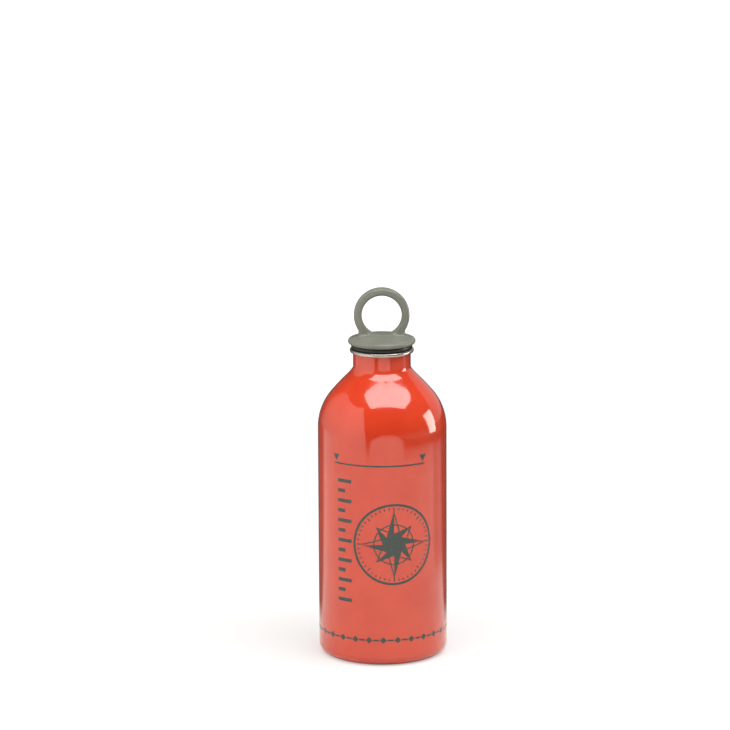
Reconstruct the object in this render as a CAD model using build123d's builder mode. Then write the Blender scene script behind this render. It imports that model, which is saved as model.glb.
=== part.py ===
"""Camping fuel bottle: enamelled aluminium shell, threaded neck ring, seal ring and screw stopper.

Lengths are in millimetres and angles in degrees. +Z is up along the bottle's axis, and the
origin is the centre of the foot. The front is towards -Y, where the hole of the loop shows round.
"""

from build123d import *
from math import ceil, cos, radians, sin, sqrt, tan
import os

# Bottle shell: one can drawn from aluminium, necked in at the top
body_diameter = 63.5
wall = 1.0
floor_thickness = 1.4
shoulder_start = 114.0      # height at which the straight wall turns into the shoulder
shoulder_radius = 27.5      # convex arc above the straight wall
shoulder_angle = 47.8       # turn of that arc, and so the slope of the cone above it
neck_blend_radius = 6.7     # concave arc from the cone into the neck
neck_length = 6.6           # straight neck above the blend
base_corner_radius = 4.7
foot_width = 3.0            # flat ring that the bottle stands on
base_hollow_depth = 2.2     # how far the middle of the base is pressed in

# Neck ring: bare aluminium, a threaded sleeve with a round bead that caps the neck.
# The bead sets the size of the neck, and the neck that of the sleeve and the thread.
bead_diameter = 31.5
bead_height = 2.1
bead_overhang = 1.55        # how far the bead stands out from the neck
ring_fit_gap = 0.05         # between the sleeve and the inside of the neck
sleeve_wall = 0.6           # behind the root of the ring's thread
sleeve_length = 12.0
mouth_chamfer = 0.35

# Thread of the stopper, one start and right-handed, with its play in the neck ring
thread_pitch = 3.0
thread_depth = 0.95
thread_crest_width = 0.8
thread_flank_angle = 25.0   # from the radial direction
thread_radial_play = 0.25
thread_flank_play = 0.2     # along the axis, on each flank
mouth_play = 0.1            # the plain mouth is this much wider than the thread's root

# Seal ring: round rubber section, squeezed flat between the bead and the flange
seal_width = 2.45
seal_height = 2.2
seal_corner_radius = 0.95
seal_seat_gap = 0.03        # above and below the seal
seal_bore_gap = 0.1         # between the seal and the collar that it sits on

# Stopper: one moulding with a domed flange, a hollow threaded shank and a carrying loop
flange_overhang = 0.85      # how far the flange stands out past the bead
flange_lower_round = 1.2
flange_upper_round = 1.5
dome_edge_slope = 11.5      # slope of the dome where it leaves the rounded edge
collar_gap = 0.15           # between the collar and the mouth
collar_depth = 0.3          # how far the collar reaches below the top of the bead
collar_relief = 0.3         # plain band between the collar and the thread's run-out
shank_length = 17.3
shank_end_chamfer = 0.6
shank_wall = 2.05           # from the root of the thread to the hollow inside the shank
hollow_rise = 0.5           # how far the hollow reaches above the flange's lower face
hollow_corner_radius = 1.5
vent_slot_width = 3.0       # lets pressure out before the thread lets go
vent_slot_depth = 0.4       # below the root of the thread
loop_outer_diameter = 27.3
loop_hole_diameter = 19.6
loop_depth = 5.4            # front to back
loop_edge_radius = 1.6
loop_web = 0.05             # left under the hole, above the crown of the flange
loop_foot_radius = 3.0      # concave arcs that spread the loop's feet
loop_foot_margin = 0.8      # least distance from the end of a foot to the edge of the dome

overrun = 0.6               # how far cutting shapes run past what they cut
round_limit_share = 0.45    # largest edge round, as a share of the thickness that carries it

# Radii, and heights from the foot up
body_radius = body_diameter / 2
bead_radius = bead_diameter / 2
neck_radius = bead_radius - bead_overhang
neck_bore_radius = neck_radius - wall
shoulder_turn = radians(shoulder_angle)
cone_length_x = (
    body_radius - neck_radius - (shoulder_radius + neck_blend_radius) * (1 - cos(shoulder_turn))
)
shoulder_top = shoulder_start + shoulder_radius * sin(shoulder_turn)
cone_top = shoulder_top + cone_length_x / tan(shoulder_turn)
neck_start = cone_top + neck_blend_radius * sin(shoulder_turn)
neck_top = neck_start + neck_length

bead_top = neck_top + bead_height
sleeve_radius = neck_bore_radius - ring_fit_gap
sleeve_bottom = neck_top - sleeve_length

ring_root_radius = sleeve_radius - sleeve_wall
crest_radius = ring_root_radius - thread_radial_play
core_radius = crest_radius - thread_depth
ring_crest_radius = core_radius + thread_radial_play
mouth_radius = ring_root_radius + mouth_play
flank_slope = tan(radians(thread_flank_angle))
core_gap = thread_pitch - thread_crest_width - 2 * thread_depth * flank_slope

collar_radius = mouth_radius - collar_gap
collar_bottom = bead_top - collar_depth
seal_round = min(seal_corner_radius, round_limit_share * min(seal_width, seal_height))
seal_bottom = bead_top + seal_seat_gap
flange_bottom = seal_bottom + seal_height + seal_seat_gap
flange_equator = flange_bottom + flange_lower_round
flange_radius = bead_radius + flange_overhang
dome_turn = radians(dome_edge_slope)
dome_edge_radius = flange_radius - flange_upper_round * (1 - sin(dome_turn))
dome_edge_top = flange_equator + flange_upper_round * cos(dome_turn)
flange_crown = dome_edge_top + dome_edge_radius * tan(dome_turn / 2)
shank_bottom = flange_bottom - shank_length
hollow_radius = core_radius - shank_wall
hollow_top = flange_bottom + hollow_rise

loop_radius = loop_outer_diameter / 2
loop_hole_radius = loop_hole_diameter / 2
loop_band = loop_radius - loop_hole_radius
loop_round = min(loop_edge_radius, round_limit_share * min(loop_band, loop_depth))
loop_centre = flange_crown + loop_web + loop_hole_radius

# The foot arcs touch the ring and the level of the dome's edge, and end before that edge
loop_height = loop_centre - dome_edge_top
foot_reach = dome_edge_radius - loop_foot_margin
foot_room = foot_reach ** 2 - loop_radius ** 2 + loop_height ** 2
foot_round = min(loop_foot_radius, foot_room / (2 * (loop_radius + loop_height)))
foot_arc_z = dome_edge_top + foot_round
foot_arc_x = sqrt((loop_radius + foot_round) ** 2 - (loop_height - foot_round) ** 2)


def stopper_gap_half(radius):
    """Half the width of the gap between the stopper's thread turns, at a radius."""
    return core_gap / 2 + (radius - core_radius) * flank_slope


def ring_gap_half(radius):
    """Half the width of the gap between the neck ring's thread turns, at a radius."""
    return thread_pitch / 2 - stopper_gap_half(radius) + thread_flank_play


# The stopper's gap runs out just below the collar, and the ring's first turn starts below that.
# The ring's gap lies half a turn higher, so that the two threads mesh at rest.
gap_end = collar_bottom - collar_relief - stopper_gap_half(crest_radius + overrun)
ring_gap_end = gap_end + thread_pitch / 2
ring_thread_top = gap_end - stopper_gap_half(ring_root_radius)


def cut_thread_gap(inner, outer, gap_half, bottom, top):
    """Cut the gap between thread turns out of the part being built.

    The gap is made turn by turn from its top, at least as far down as the bottom.
    """
    turns = ceil((top - bottom) / thread_pitch) + 1
    start = top - turns * thread_pitch
    with BuildSketch(Plane.XZ) as gap_section:
        with BuildLine():
            Polyline(
                (inner, start - gap_half(inner)),
                (outer, start - gap_half(outer)),
                (outer, start + gap_half(outer)),
                (inner, start + gap_half(inner)),
                close=True,
            )
        make_face()
    with BuildLine() as gap_path:
        Helix(thread_pitch, thread_pitch, inner, center=(0, 0, start))
    one_turn = sweep(gap_section.sketch, path=gap_path.line, is_frenet=True, mode=Mode.PRIVATE)
    with Locations(*[(0, 0, turn * thread_pitch) for turn in range(turns)]):
        add(one_turn, mode=Mode.SUBTRACT)


os.makedirs("parts", exist_ok=True)

# Bottle shell: half of the wall's section, up the outside and back down the inside
foot_outer = body_radius - base_corner_radius
foot_inner = foot_outer - foot_width
inner_corner_radius = base_corner_radius - wall
inner_corner_top = floor_thickness + inner_corner_radius
cone_direction = (-sin(shoulder_turn), cos(shoulder_turn))
wall_shift_x = wall * cos(shoulder_turn)
wall_shift_z = wall * sin(shoulder_turn)
shoulder_end = (body_radius - shoulder_radius * (1 - cos(shoulder_turn)), shoulder_top)
blend_start = (neck_radius + neck_blend_radius * (1 - cos(shoulder_turn)), cone_top)
inner_shoulder_end = (shoulder_end[0] - wall_shift_x, shoulder_end[1] - wall_shift_z)
inner_blend_start = (blend_start[0] - wall_shift_x, blend_start[1] - wall_shift_z)

with BuildPart() as bottle_shell:
    with BuildSketch(Plane.XZ) as shell_section:
        with BuildLine():
            TangentArc((0, base_hollow_depth), (foot_inner, 0), tangent=(1, 0))
            Line((foot_inner, 0), (foot_outer, 0))
            TangentArc((foot_outer, 0), (body_radius, base_corner_radius), tangent=(1, 0))
            Line((body_radius, base_corner_radius), (body_radius, shoulder_start))
            TangentArc((body_radius, shoulder_start), shoulder_end, tangent=(0, 1))
            Line(shoulder_end, blend_start)
            TangentArc(blend_start, (neck_radius, neck_start), tangent=cone_direction)
            Polyline(
                (neck_radius, neck_start),
                (neck_radius, neck_top),
                (neck_bore_radius, neck_top),
                (neck_bore_radius, neck_start),
            )
            TangentArc((neck_bore_radius, neck_start), inner_blend_start, tangent=(0, -1))
            Line(inner_blend_start, inner_shoulder_end)
            TangentArc((body_radius - wall, shoulder_start), inner_shoulder_end, tangent=(0, 1))
            Line((body_radius - wall, shoulder_start), (body_radius - wall, inner_corner_top))
            TangentArc(
                (body_radius - wall, inner_corner_top),
                (foot_outer, floor_thickness),
                tangent=(0, -1),
            )
            Line((foot_outer, floor_thickness), (foot_inner, floor_thickness))
            TangentArc(
                (0, base_hollow_depth + floor_thickness),
                (foot_inner, floor_thickness),
                tangent=(1, 0),
            )
            Line((0, base_hollow_depth + floor_thickness), (0, base_hollow_depth))
        make_face()
    revolve(axis=Axis.Z)
bottle_shell.part.label = "bottle_shell"
export_step(bottle_shell.part, "parts/bottle_shell.step")

# Neck ring: sleeve inside the neck and bead on the neck's end, then the thread's gap
bead_flat_radius = bead_radius - bead_height / 2

with BuildPart() as neck_thread_ring:
    with BuildSketch(Plane.XZ) as ring_section:
        with BuildLine():
            Polyline(
                (bead_flat_radius, bead_top),
                (mouth_radius + mouth_chamfer, bead_top),
                (mouth_radius, bead_top - mouth_chamfer),
                (mouth_radius, ring_thread_top),
                (ring_crest_radius, ring_thread_top),
                (ring_crest_radius, sleeve_bottom),
                (sleeve_radius, sleeve_bottom),
                (sleeve_radius, neck_top),
                (bead_flat_radius, neck_top),
            )
            ThreePointArc(
                (bead_flat_radius, neck_top),
                (bead_radius, neck_top + bead_height / 2),
                (bead_flat_radius, bead_top),
            )
        make_face()
    revolve(axis=Axis.Z)
    cut_thread_gap(
        ring_crest_radius - overrun,
        ring_root_radius,
        ring_gap_half,
        sleeve_bottom,
        ring_gap_end,
    )
neck_thread_ring.part.label = "neck_thread_ring"
export_step(neck_thread_ring.part, "parts/neck_thread_ring.step")

# Seal ring: the squeezed section turned round the collar
with BuildPart() as cap_seal_ring:
    with BuildSketch(Plane.XZ) as seal_section:
        seal_inner = collar_radius + seal_bore_gap
        with Locations((seal_inner + seal_width / 2, seal_bottom + seal_height / 2)):
            RectangleRounded(seal_width, seal_height, seal_round)
    revolve(axis=Axis.Z)
cap_seal_ring.part.label = "cap_seal_ring"
export_step(cap_seal_ring.part, "parts/cap_seal_ring.step")

# Stopper: flange and shank turned in one, and the loop standing on the dome
with BuildPart() as screw_stopper:
    with BuildSketch(Plane.XZ) as stopper_section:
        with BuildLine():
            TangentArc((0, flange_crown), (dome_edge_radius, dome_edge_top), tangent=(1, 0))
            TangentArc(
                (dome_edge_radius, dome_edge_top),
                (flange_radius, flange_equator),
                tangent=(cos(dome_turn), -sin(dome_turn)),
            )
            TangentArc(
                (flange_radius, flange_equator),
                (flange_radius - flange_lower_round, flange_bottom),
                tangent=(0, -1),
            )
            Polyline(
                (flange_radius - flange_lower_round, flange_bottom),
                (collar_radius, flange_bottom),
                (collar_radius, collar_bottom),
                (crest_radius, collar_bottom),
                (crest_radius, shank_bottom + shank_end_chamfer),
                (crest_radius - shank_end_chamfer, shank_bottom),
                (hollow_radius, shank_bottom),
                (hollow_radius, hollow_top - hollow_corner_radius),
            )
            TangentArc(
                (hollow_radius, hollow_top - hollow_corner_radius),
                (hollow_radius - hollow_corner_radius, hollow_top),
                tangent=(0, 1),
            )
            Polyline(
                (hollow_radius - hollow_corner_radius, hollow_top),
                (0, hollow_top),
                (0, flange_crown),
            )
        make_face()
    revolve(axis=Axis.Z)

    # The loop's outline: a round ring whose feet spread in arcs tangent to it
    with BuildSketch(Plane.XZ) as loop_outline:
        with Locations((0, loop_centre)):
            Circle(loop_radius)
        with BuildLine():
            Polyline(
                (0, loop_centre),
                (foot_arc_x, foot_arc_z),
                (foot_arc_x, flange_equator),
                (-foot_arc_x, flange_equator),
                (-foot_arc_x, foot_arc_z),
                close=True,
            )
        make_face()
        with Locations((foot_arc_x, foot_arc_z), (-foot_arc_x, foot_arc_z)):
            Circle(foot_round, mode=Mode.SUBTRACT)
        with Locations((0, loop_centre)):
            Circle(loop_hole_radius, mode=Mode.SUBTRACT)
        with Locations((0, flange_equator)):
            Rectangle(
                loop_outer_diameter,
                loop_outer_diameter,
                align=(Align.CENTER, Align.MAX),
                mode=Mode.SUBTRACT,
            )
    extrude(amount=loop_depth / 2, both=True)

    # Its rims are rounded, but not the lines where its faces meet the dome
    loop_rims = (
        screw_stopper.faces()
        .filter_by(Axis.Y)
        .edges()
        .filter_by(GeomType.CIRCLE)
        .filter_by(lambda edge: edge.radius < loop_outer_diameter)
    )
    fillet(loop_rims, radius=loop_round)

    # Its thread
    cut_thread_gap(
        core_radius,
        crest_radius + overrun,
        stopper_gap_half,
        shank_bottom,
        gap_end,
    )

    # Vent slot down the back of the thread
    with BuildSketch(Plane.XY.offset(shank_bottom)) as vent_slot:
        with Locations((0, core_radius - vent_slot_depth)):
            Rectangle(
                vent_slot_width,
                thread_depth + vent_slot_depth + overrun,
                align=(Align.CENTER, Align.MIN),
            )
    extrude(amount=collar_bottom - shank_bottom, mode=Mode.SUBTRACT)
screw_stopper.part.label = "screw_stopper"
export_step(screw_stopper.part, "parts/screw_stopper.step")
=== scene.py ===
"""Camping fuel bottle: the fine forms and finishes of its parts, its studio and its camera.

Lengths are in metres and angles in radians unless a comment says otherwise. +Z is up along the
bottle's axis, the origin is the centre of the foot, and the front is towards -Y.
"""

from math import asin, atan2, ceil, cos, pi, radians, sin, sqrt, tau

import bmesh
import bpy
import numpy as np
from bpy.props import FloatProperty, FloatVectorProperty, IntProperty, PointerProperty
from bpy.types import Operator, Panel, PropertyGroup
from mathutils import Matrix, Vector


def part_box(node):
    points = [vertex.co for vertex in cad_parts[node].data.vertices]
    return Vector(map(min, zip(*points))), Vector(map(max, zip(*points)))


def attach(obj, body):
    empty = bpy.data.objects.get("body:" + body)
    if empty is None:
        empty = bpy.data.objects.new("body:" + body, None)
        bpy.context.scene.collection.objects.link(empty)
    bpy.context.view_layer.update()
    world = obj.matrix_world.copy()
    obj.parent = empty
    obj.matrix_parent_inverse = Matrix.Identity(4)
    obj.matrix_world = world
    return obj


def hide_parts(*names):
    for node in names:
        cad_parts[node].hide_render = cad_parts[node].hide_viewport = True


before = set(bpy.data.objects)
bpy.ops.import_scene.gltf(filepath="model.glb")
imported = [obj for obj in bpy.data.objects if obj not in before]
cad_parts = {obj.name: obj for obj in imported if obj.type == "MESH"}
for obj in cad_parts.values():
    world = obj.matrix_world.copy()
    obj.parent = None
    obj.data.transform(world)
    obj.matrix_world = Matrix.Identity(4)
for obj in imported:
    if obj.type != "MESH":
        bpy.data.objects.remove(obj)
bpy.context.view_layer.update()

bl_info = {
    "name": "Camping fuel bottle",
    "version": (1, 0, 0),
    "blender": (4, 5, 0),
    "location": "3D View > Sidebar > Fuel bottle",
    "description": "Dresses the parts of an enamelled fuel bottle and sets up its studio",
    "category": "Object",
}

MM = 0.001
# Points closer than this become one, in the scene's own meshes and in copies of packed ones
WELD = 0.001 * MM
PACKED_WELD = 0.0005 * MM


def linear(shade):
    """Linear colour for a hexadecimal display shade such as 'E8401F'."""
    channels = [int(shade[place:place + 2], 16) / 255 for place in (0, 2, 4)]
    return tuple(
        channel / 12.92 if channel <= 0.04045 else ((channel + 0.055) / 1.055) ** 2.4
        for channel in channels
    )


def length(name, description, millimetres):
    """Size that a user can change, given in millimetres and kept in metres."""
    return FloatProperty(
        name=name, description=description, default=millimetres * MM, unit="LENGTH", min=0
    )


def colour(name, description, shade):
    """Colour that a user can change, given as a display shade."""
    return FloatVectorProperty(
        name=name, description=description, default=linear(shade), subtype="COLOR", min=0, max=1
    )


def angle(name, description, degrees):
    """Angle that a user can change, given in degrees and kept in radians."""
    return FloatProperty(
        name=name, description=description, default=radians(degrees), subtype="ANGLE"
    )


def amount(name, description, value):
    """Plain number that a user can change."""
    return FloatProperty(name=name, description=description, default=value, min=0)


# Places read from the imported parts
_, SHELL_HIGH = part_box("bottle_shell")
_, RING_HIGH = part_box("neck_thread_ring")
SEAL_LOW, SEAL_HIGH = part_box("cap_seal_ring")
_, STOPPER_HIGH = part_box("screw_stopper")
WALL_RADIUS = SHELL_HIGH.x
NECK_TOP = SHELL_HIGH.z

# Shades that go with the main colours of the settings
ENAMEL_DUST = linear("E8A28E")
DRAWN_METAL_DARK = linear("8F9292")
TURNED_METAL_DARK = linear("A9ACAE")
BLOTCHED_METAL = linear("8B8D8C")
RUBBER_DEEP = linear("1C1F19")
RUBBER_DUST = linear("6D7264")
PLASTIC_DEEP = linear("808275")
PLASTIC_DUST = linear("B9BDAE")
INK_DEEP = linear("36413A")


# Settings

class FuelBottleShell(PropertyGroup):
    """Sizes and colours of the enamelled shell."""

    wall: length("Wall", "Thickness of the aluminium", 1.0)
    floor_thickness: length("Floor", "Thickness of the base", 1.4)
    shoulder_start: length("Shoulder start", "Height where the straight wall ends", 114.0)
    shoulder_radius: length("Shoulder radius", "Round of the shoulder", 27.5)
    shoulder_angle: angle("Shoulder angle", "Turn of the shoulder's round", 40.0)
    neck_radius: length("Neck radius", "Outside of the straight neck", 14.2)
    neck_round: length("Neck round", "Tight hollow round under the straight neck", 3.2)
    neck_flare: length("Neck flare", "Wide hollow round that runs on to the shoulder", 20.0)
    neck_flare_angle: angle("Flare angle", "Turn where the flare takes over", 35.0)
    neck_length: length("Neck length", "Straight neck above the blend", 6.6)
    base_corner_radius: length("Base corner", "Round from the wall to the foot", 4.7)
    foot_width: length("Foot width", "Flat ring that the bottle stands on", 3.0)
    base_hollow_depth: length("Base hollow", "How far the base is pressed in", 2.2)
    segments: IntProperty(
        name="Segments", description="Faces round the shell", default=288, min=32, max=512
    )
    enamel: colour("Enamel", "Red-orange baked enamel", "F24A27")
    enamel_deep: colour("Deep enamel", "Enamel where the coat is thickest", "E64020")
    metal: colour("Bare inside", "Drawn aluminium inside the bottle", "B9BBBA")


class FuelBottlePrint(PropertyGroup):
    """Sizes and colour of the print on the wall."""

    ink: colour("Ink", "Charcoal green ink", "35423A")
    line_width: length("Line width", "Hoops and outlines of the rose", 0.6)
    ink_thickness: length("Ink thickness", "How far the ink stands on the enamel", 0.02)
    rose_radius: length("Rose radius", "Outer ring of the compass rose", 20.5)
    rose_offset: length("Rose offset", "From the front line to the rose's centre", 5.5)
    rose_height: length("Rose height", "From the foot to the rose's centre", 62.0)
    band_height: length("Band height", "From the foot to the middle of the border", 13.5)
    scale_bottom: length("Scale bottom", "Lowest bar of the filling scale", 32.0)
    scale_pitch: length("Scale pitch", "From bar to bar of the filling scale", 5.0)
    scale_bars: IntProperty(
        name="Scale bars", description="Bars of the filling scale", default=13, min=2, max=30
    )
    fill_height: length("Fill line", "From the foot to the fill line", 101.0)


class FuelBottleStopper(PropertyGroup):
    """Sizes of the stopper's head, and colours of the stopper, its seal and the neck ring."""

    seat_gap: length("Seat gap", "Between the seal and the flange", 0.03)
    flange_lower_round: length("Lower round", "Round under the flange's edge", 1.2)
    flange_upper_round: length("Upper round", "Round above the flange's edge", 1.5)
    dome_edge_slope: angle("Dome slope", "Slope of the dome at its edge", 11.5)
    collar_radius: length("Collar radius", "Plain collar that carries the seal", 12.5)
    hollow_radius: length("Hollow radius", "Hollow inside the shank", 9.3)
    hollow_rise: length("Hollow rise", "How far the hollow reaches into the flange", 0.5)
    hollow_round: length("Hollow round", "Round at the end of the hollow", 1.5)
    loop_diameter: length("Loop diameter", "Outside of the carrying loop", 27.3)
    loop_hole_diameter: length("Loop hole", "Hole of the carrying loop", 19.6)
    loop_depth: length("Loop depth", "Carrying loop from front to back", 5.4)
    loop_edge_round: length("Loop round", "Round on the loop's edges", 1.6)
    loop_foot_round: length("Foot round", "Hollow round that spreads the loop's feet", 3.0)
    loop_root_round: length("Root round", "Hollow round beside the loop's feet", 0.9)
    loop_front_round: length("Front round", "Hollow round before and behind the feet", 2.4)
    grid: length("Grid", "Face size of the moulded head", 0.22)
    plastic: colour("Plastic", "Grey-green moulded plastic", "8E8E83")
    plastic_pale: colour("Pale plastic", "Rubbed spots of the plastic", "A5A499")
    rubber: colour("Rubber", "Black seal rubber", "2F322A")
    # Warmed towards pink: partly the aluminium's own tone, partly a painted reflection of the red
    # enamel.
    aluminium: colour("Aluminium", "Turned bare aluminium", "DACBC2")


class FuelBottleStudio(PropertyGroup):
    """Places and levels of the studio's lights."""

    floor_radius: length("Floor radius", "Reach of the pale floor", 6000)
    softbox_height: length("Softbox height", "Overhead softbox above the shoulder", 1000)
    softbox_level: amount("Softbox level", "Radiance of the softbox", 4.8)
    panel_distance: length("Panel distance", "From the bottle to the white panel", 600)
    panel_level: amount("Panel level", "Radiance of the white panel", 1.2)
    strip_distance: length("Strip distance", "From the bottle to the strip light", 750)
    strip_level: amount("Strip level", "Radiance of the strip light", 6.0)
    gloom: amount("Gloom", "Radiance of the unlit room in reflections", 0.06)
    fill: amount("Fill", "Soft light from the room's ceiling", 1.2)
    side_fill: amount("Side fill", "Soft light from the right wall", 0.22)
    backdrop_level: amount("Backdrop level", "Radiance of the pale backdrop", 0.5)


# Node helpers

def fill_inputs(tree, node, inputs):
    """Set or link a node's inputs, each given by its name or its place."""
    for key, value in inputs.items():
        if isinstance(value, bpy.types.NodeSocket):
            tree.links.new(value, node.inputs[key])
        else:
            node.inputs[key].default_value = value


def add_node(tree, kind, inputs=None, **settings):
    """Add a node with its settings and inputs."""
    made = tree.nodes.new(kind)
    for name, value in settings.items():
        setattr(made, name, value)
    fill_inputs(tree, made, inputs or {})
    return made


def calculate(tree, operation, *values):
    """Output of a Math node."""
    return add_node(
        tree, "ShaderNodeMath", dict(enumerate(values)), operation=operation
    ).outputs[0]


def multiply(tree, product, *values):
    """Product of two or more values."""
    for value in values:
        product = calculate(tree, "MULTIPLY", product, value)
    return product


def remap(tree, value, low, high, to_low=0.0, to_high=1.0, smooth=True):
    """Output of a clamped Map Range node."""
    return add_node(
        tree,
        "ShaderNodeMapRange",
        {
            "Value": value,
            "From Min": low,
            "From Max": high,
            "To Min": to_low,
            "To Max": to_high,
        },
        interpolation_type="SMOOTHSTEP" if smooth else "LINEAR",
    ).outputs["Result"]


def separate(tree, vector):
    """X, Y and Z outputs of a vector."""
    return add_node(tree, "ShaderNodeSeparateXYZ", {"Vector": vector}).outputs


def combine(tree, **parts):
    """Vector with the given X, Y and Z."""
    return add_node(tree, "ShaderNodeCombineXYZ", parts).outputs["Vector"]


def noise(tree, place, scale, detail, roughness):
    """Value of a Noise Texture."""
    return add_node(
        tree,
        "ShaderNodeTexNoise",
        {"Vector": place, "Scale": scale, "Detail": detail, "Roughness": roughness},
    ).outputs["Fac"]


def mix_colours(tree, factor, first, second):
    """Output of a colour Mix node; a colour is a socket or its three linear channels."""
    mixer = add_node(tree, "ShaderNodeMix", data_type="RGBA")
    sockets = [
        socket for socket in mixer.inputs
        if socket.type == "RGBA" or (socket.name == "Factor" and socket.type == "VALUE")
    ]
    for socket, value in zip(sockets, (factor, first, second)):
        if isinstance(value, bpy.types.NodeSocket):
            tree.links.new(value, socket)
        elif socket.type == "RGBA":
            socket.default_value = (*value, 1)
        else:
            socket.default_value = value
    return next(output for output in mixer.outputs if output.type == "RGBA")


def new_tree(name, kind, inputs, outputs):
    """Node group with named sockets, and its input and output nodes."""
    tree = bpy.data.node_groups.new(name, kind)
    for socket_name, socket_type, default in inputs:
        socket = tree.interface.new_socket(socket_name, in_out="INPUT", socket_type=socket_type)
        if default is not None:
            socket.default_value = default
    for socket_name, socket_type in outputs:
        tree.interface.new_socket(socket_name, in_out="OUTPUT", socket_type=socket_type)
    return tree, tree.nodes.new("NodeGroupInput"), tree.nodes.new("NodeGroupOutput")


def new_material(name):
    """Material with a Principled BSDF wired to its output, and its texture coordinates."""
    material = bpy.data.materials.new(name)
    material.use_nodes = True
    tree = material.node_tree
    return material, tree, tree.nodes["Principled BSDF"], tree.nodes.new("ShaderNodeTexCoord")


# Effects that several finishes share

# Bands of a grain's tone over which a colour or a roughness changes
MIDDLE_TONES = (0.35, 0.65)
WIDE_TONES = (0.3, 0.7)


def grain_group():
    """Uneven tone and height of a worked surface."""
    group = bpy.data.node_groups.get("surface_grain")
    if group:
        return group
    group, given, result = new_tree(
        "surface_grain",
        "ShaderNodeTree",
        [
            ("Place", "NodeSocketVector", None),
            ("Scale", "NodeSocketFloat", 400.0),
            ("Detail", "NodeSocketFloat", 3.0),
            ("Stretch", "NodeSocketVector", (1.0, 1.0, 1.0)),
        ],
        [("Tone", "NodeSocketFloat"), ("Height", "NodeSocketFloat")],
    )
    broad_scale_share = 0.13
    scale = given.outputs["Scale"]
    stretched = add_node(
        group,
        "ShaderNodeVectorMath",
        {0: given.outputs["Place"], 1: given.outputs["Stretch"]},
        operation="MULTIPLY",
    ).outputs[0]
    fine = noise(group, stretched, scale, given.outputs["Detail"], 0.55)
    broad = noise(group, stretched, multiply(group, scale, broad_scale_share), 2.0, 0.5)
    tone = calculate(group, "MULTIPLY_ADD", broad, 0.5, multiply(group, fine, 0.5))
    fill_inputs(group, result, {"Tone": tone, "Height": fine})
    return group


def dust_group():
    """Thin dust on faces that look up, in patches of fine specks."""
    group = bpy.data.node_groups.get("settled_dust")
    if group:
        return group
    group, given, result = new_tree(
        "settled_dust",
        "ShaderNodeTree",
        [
            ("Place", "NodeSocketVector", None),
            ("Facing", "NodeSocketVector", None),
            ("Amount", "NodeSocketFloat", 0.2),
        ],
        [("Mask", "NodeSocketFloat")],
    )
    place = given.outputs["Place"]
    lying = remap(group, separate(group, given.outputs["Facing"])["Z"], 0.15, 0.95)
    specks = remap(group, noise(group, place, 900.0, 6.0, 0.7), 0.5, 0.75)
    patches = remap(group, noise(group, place, 60.0, 3.0, 0.5), 0.35, 0.65)
    mask = multiply(group, specks, lying, patches, given.outputs["Amount"])
    fill_inputs(group, result, {"Mask": mask})
    return group


def add_grain(tree, place, scale, detail=3.0, stretch=(1, 1, 1)):
    """Grain group placed in a material; returns its outputs."""
    return add_node(
        tree,
        "ShaderNodeGroup",
        {"Place": place.outputs["Object"], "Scale": scale, "Detail": detail, "Stretch": stretch},
        node_tree=grain_group(),
    ).outputs


def add_dust(tree, place, amount):
    """Dust group placed in a material; returns its mask."""
    return add_node(
        tree,
        "ShaderNodeGroup",
        {
            "Place": place.outputs["Object"],
            "Facing": place.outputs["Normal"],
            "Amount": amount,
        },
        node_tree=dust_group(),
    ).outputs["Mask"]


def relief(tree, height, depth):
    """Normal of a surface whose relief has a real depth."""
    return add_node(
        tree, "ShaderNodeBump", {"Height": height, "Distance": depth}
    ).outputs["Normal"]


# Finishes

def enamel_material(sizes):
    """Baked red-orange enamel: glossy, with faint orange peel and a trace of dust."""
    roughness = (0.09, 0.16)
    material, tree, shader, place = new_material("red_enamel")
    peel = add_grain(tree, place, 260.0, detail=1.5)
    cloud = add_grain(tree, place, 45.0, detail=2.0)
    dust = add_dust(tree, place, 0.10)
    coat = mix_colours(
        tree, remap(tree, cloud["Tone"], *MIDDLE_TONES), sizes.enamel_deep, sizes.enamel
    )
    rough = remap(tree, peel["Tone"], *WIDE_TONES, *roughness)
    fill_inputs(
        tree,
        shader,
        {
            "Base Color": mix_colours(tree, dust, coat, ENAMEL_DUST),
            "Roughness": calculate(tree, "MULTIPLY_ADD", dust, 0.8, rough),
            "IOR": 1.5,
            "Coat Weight": 1.0,
            "Coat Roughness": 0.02,
            "Normal": relief(tree, peel["Height"], 0.004 * MM),
        },
    )
    return material


def inside_metal_material(sizes):
    """Drawn aluminium with faint lengthwise lines."""
    roughness = (0.28, 0.42)
    material, tree, shader, place = new_material("drawn_aluminium_inside")
    lines = add_grain(tree, place, 900.0, detail=4.0, stretch=(1, 1, 0.05))
    base = mix_colours(tree, remap(tree, lines["Tone"], *WIDE_TONES), DRAWN_METAL_DARK, sizes.metal)
    fill_inputs(
        tree,
        shader,
        {
            "Base Color": base,
            "Metallic": 1.0,
            "Roughness": remap(tree, lines["Tone"], *WIDE_TONES, *roughness),
            "Normal": relief(tree, lines["Height"], 0.01 * MM),
        },
    )
    return material


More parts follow.
